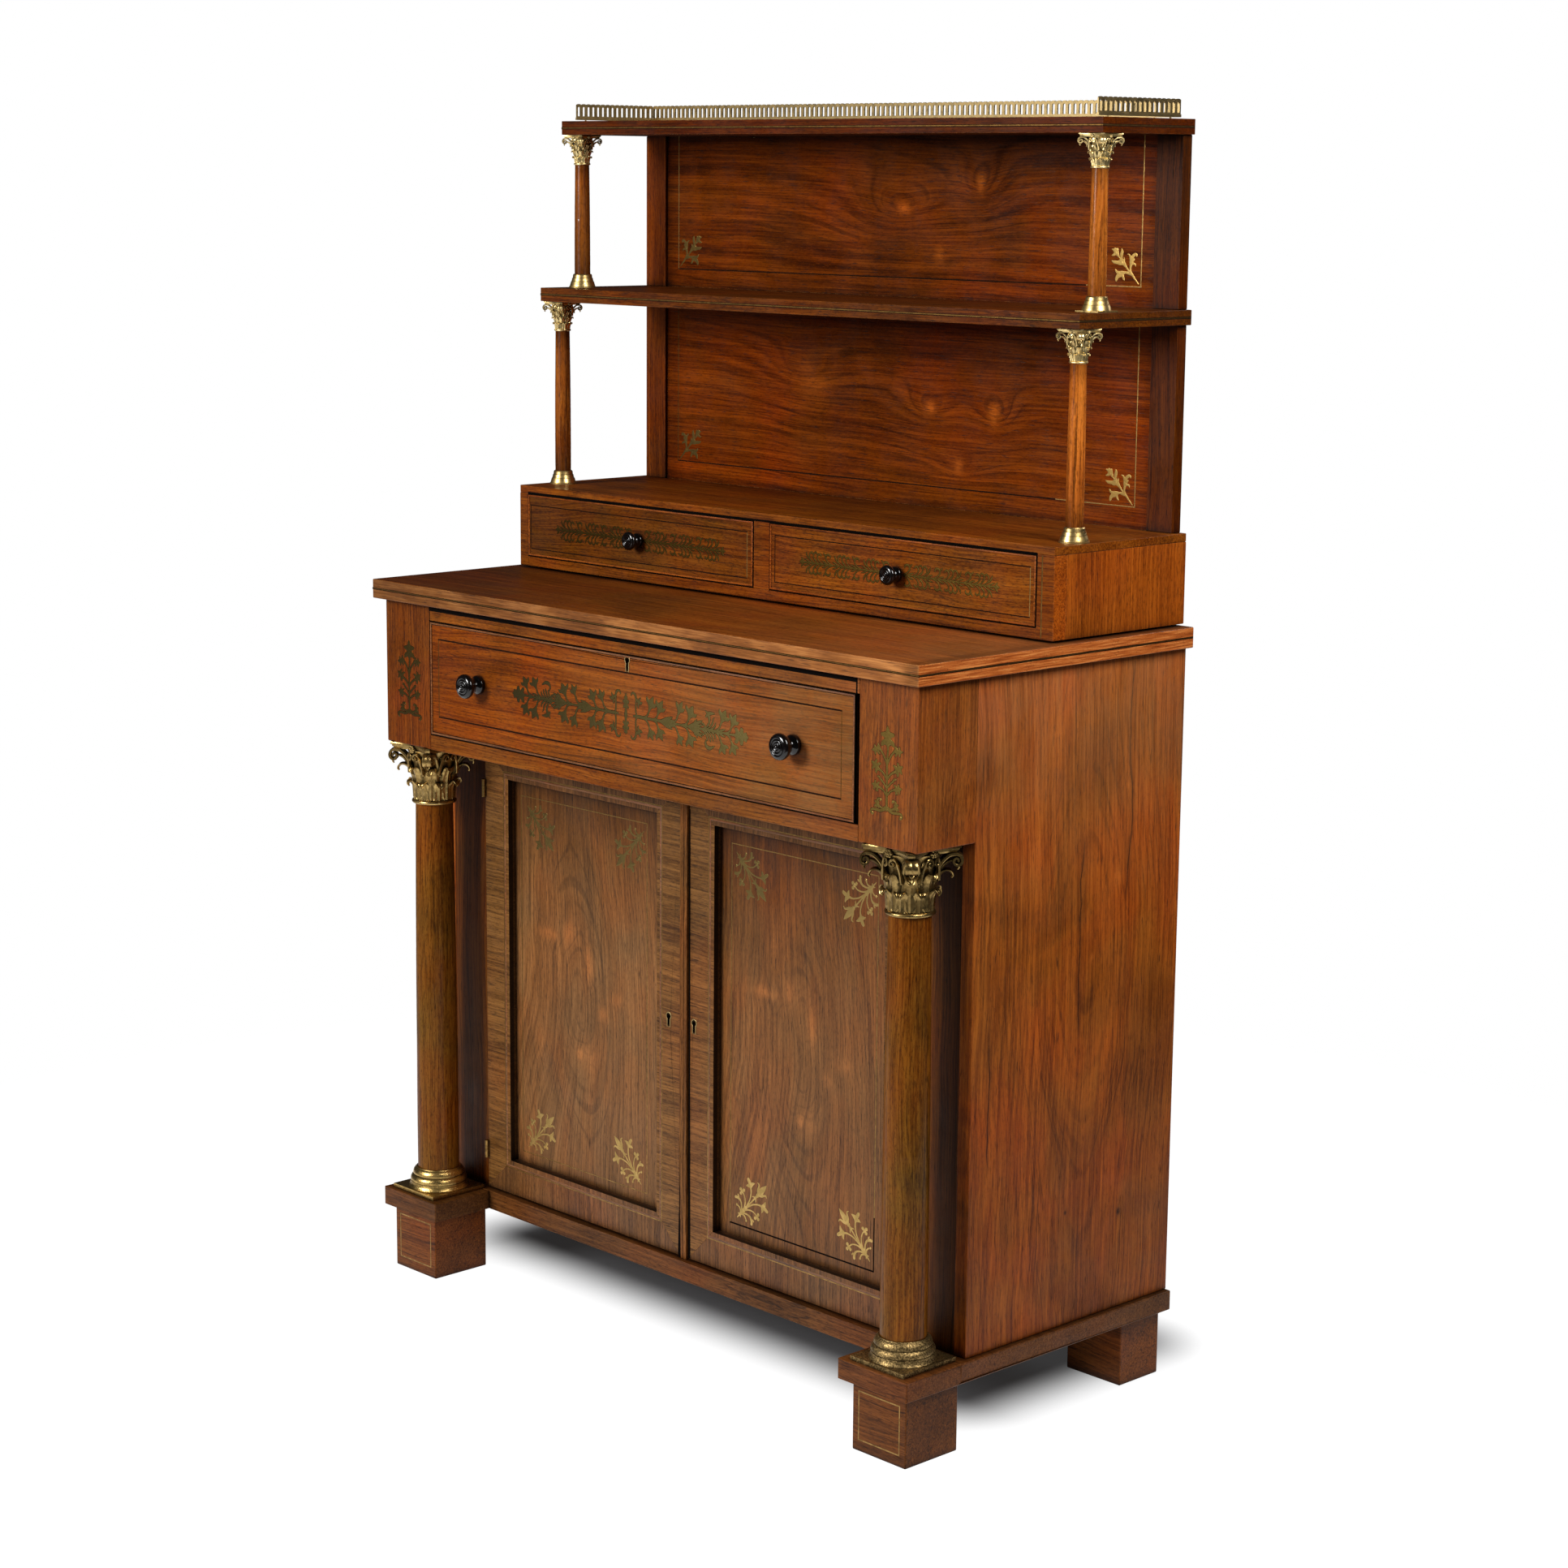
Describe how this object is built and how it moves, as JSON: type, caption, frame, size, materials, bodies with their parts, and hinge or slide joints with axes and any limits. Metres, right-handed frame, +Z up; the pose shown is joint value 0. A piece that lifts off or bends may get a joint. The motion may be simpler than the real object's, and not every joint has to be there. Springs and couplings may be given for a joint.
{
  "type": "chiffonier",
  "caption": "Free-standing cupboard with a long drawer over two hinged doors between columns, and a raised shelf unit above with small drawers, colonnettes and a pierced gallery.",
  "frame": {"origin": "on the floor, at the middle of the overall box", "axes": "+X to the object's right as seen from the front, +Y towards the back, +Z up; the drawers and doors face -Y"},
  "size_m": [0.92, 0.45, 1.435],
  "materials": {
    "rosewood": "polished rosewood veneer, straight and figured",
    "secondary_wood": "plain unpolished softwood and oak",
    "brass": "old lacquered brass, antique gilt in the hollows",
    "iron": "dull wrought iron",
    "ebony": "turned and polished, glossy black"
  },
  "bodies": {
    "carcase": {"feet": "rosewood", "platform": "rosewood", "carcase_sides": "rosewood", "front_stiles": "rosewood", "centre_muntin": "rosewood", "carcase_back": "secondary_wood", "cupboard_shelf": "secondary_wood", "shelf_bearers": "secondary_wood", "dustboard": "secondary_wood", "frieze_blocks": "rosewood", "frieze_rails": "rosewood", "drawer_runners": "secondary_wood", "table_top": "rosewood", "column_bases": "brass", "column_shafts": "rosewood", "column_capitals": "brass", "hinge_fixed_leaves": "brass", "hinge_pins": "iron", "upper_case_front_frame": "rosewood", "upper_case_sides": "rosewood", "upper_case_top": "rosewood", "upper_case_bottom": "secondary_wood", "upper_case_divider": "secondary_wood", "upper_case_back": "secondary_wood", "middle_shelf": "rosewood", "top_shelf": "rosewood", "back_stiles": "rosewood", "back_panels": "rosewood", "colonnette_bases": "brass", "colonnette_shafts": "rosewood", "colonnette_capitals": "brass", "gallery": "brass"},
    "door_left": {"door_left_stiles": "rosewood", "door_left_rails": "rosewood", "door_left_panel": "rosewood", "door_left_hinge_leaves": "brass", "door_left_lock": "iron", "door_left_escutcheon": "brass"},
    "door_left_bolt": {"door_left_bolt": "iron"},
    "door_right": {"door_right_stiles": "rosewood", "door_right_rails": "rosewood", "door_right_panel": "rosewood", "door_right_hinge_leaves": "brass", "door_right_lock": "iron", "door_right_escutcheon": "brass"},
    "door_right_bolt": {"door_right_bolt": "iron"},
    "frieze_drawer": {"frieze_drawer_front": "rosewood", "frieze_drawer_sides": "secondary_wood", "frieze_drawer_back": "secondary_wood", "frieze_drawer_bottom": "secondary_wood", "frieze_drawer_knobs": "ebony", "frieze_drawer_lock": "iron", "frieze_drawer_escutcheon": "brass"},
    "frieze_drawer_bolt": {"frieze_drawer_bolt": "iron"},
    "small_drawer_left": {"small_drawer_left_front": "rosewood", "small_drawer_left_box": "secondary_wood", "small_drawer_left_knob": "ebony"},
    "small_drawer_right": {"small_drawer_right_front": "rosewood", "small_drawer_right_box": "secondary_wood", "small_drawer_right_knob": "ebony"}
  },
  "joints": [
    {"name": "door_left_hinge", "type": "hinge", "parent": "carcase", "child": "door_left", "pos_m": [-0.3673, -0.1144, 0.381], "axis": [0, 0, -1], "range_deg": [0, 90]},
    {"name": "door_right_hinge", "type": "hinge", "parent": "carcase", "child": "door_right", "pos_m": [0.3673, -0.1144, 0.381], "axis": [0, 0, 1], "range_deg": [0, 90]},
    {"name": "frieze_drawer_slide", "type": "slide", "parent": "carcase", "child": "frieze_drawer", "axis": [0, -1, 0], "range_m": [0, 0.24]},
    {"name": "small_drawer_left_slide", "type": "slide", "parent": "carcase", "child": "small_drawer_left", "axis": [0, -1, 0], "range_m": [0, 0.12]},
    {"name": "small_drawer_right_slide", "type": "slide", "parent": "carcase", "child": "small_drawer_right", "axis": [0, -1, 0], "range_m": [0, 0.12]},
    {"name": "door_left_bolt_slide", "type": "slide", "parent": "door_left", "child": "door_left_bolt", "axis": [1, 0, 0], "range_m": [0, 0.006]},
    {"name": "door_right_bolt_slide", "type": "slide", "parent": "door_right", "child": "door_right_bolt", "axis": [-1, 0, 0], "range_m": [0, 0.006]},
    {"name": "frieze_drawer_bolt_slide", "type": "slide", "parent": "frieze_drawer", "child": "frieze_drawer_bolt", "axis": [0, 0, 1], "range_m": [0, 0.008]}
  ]
}
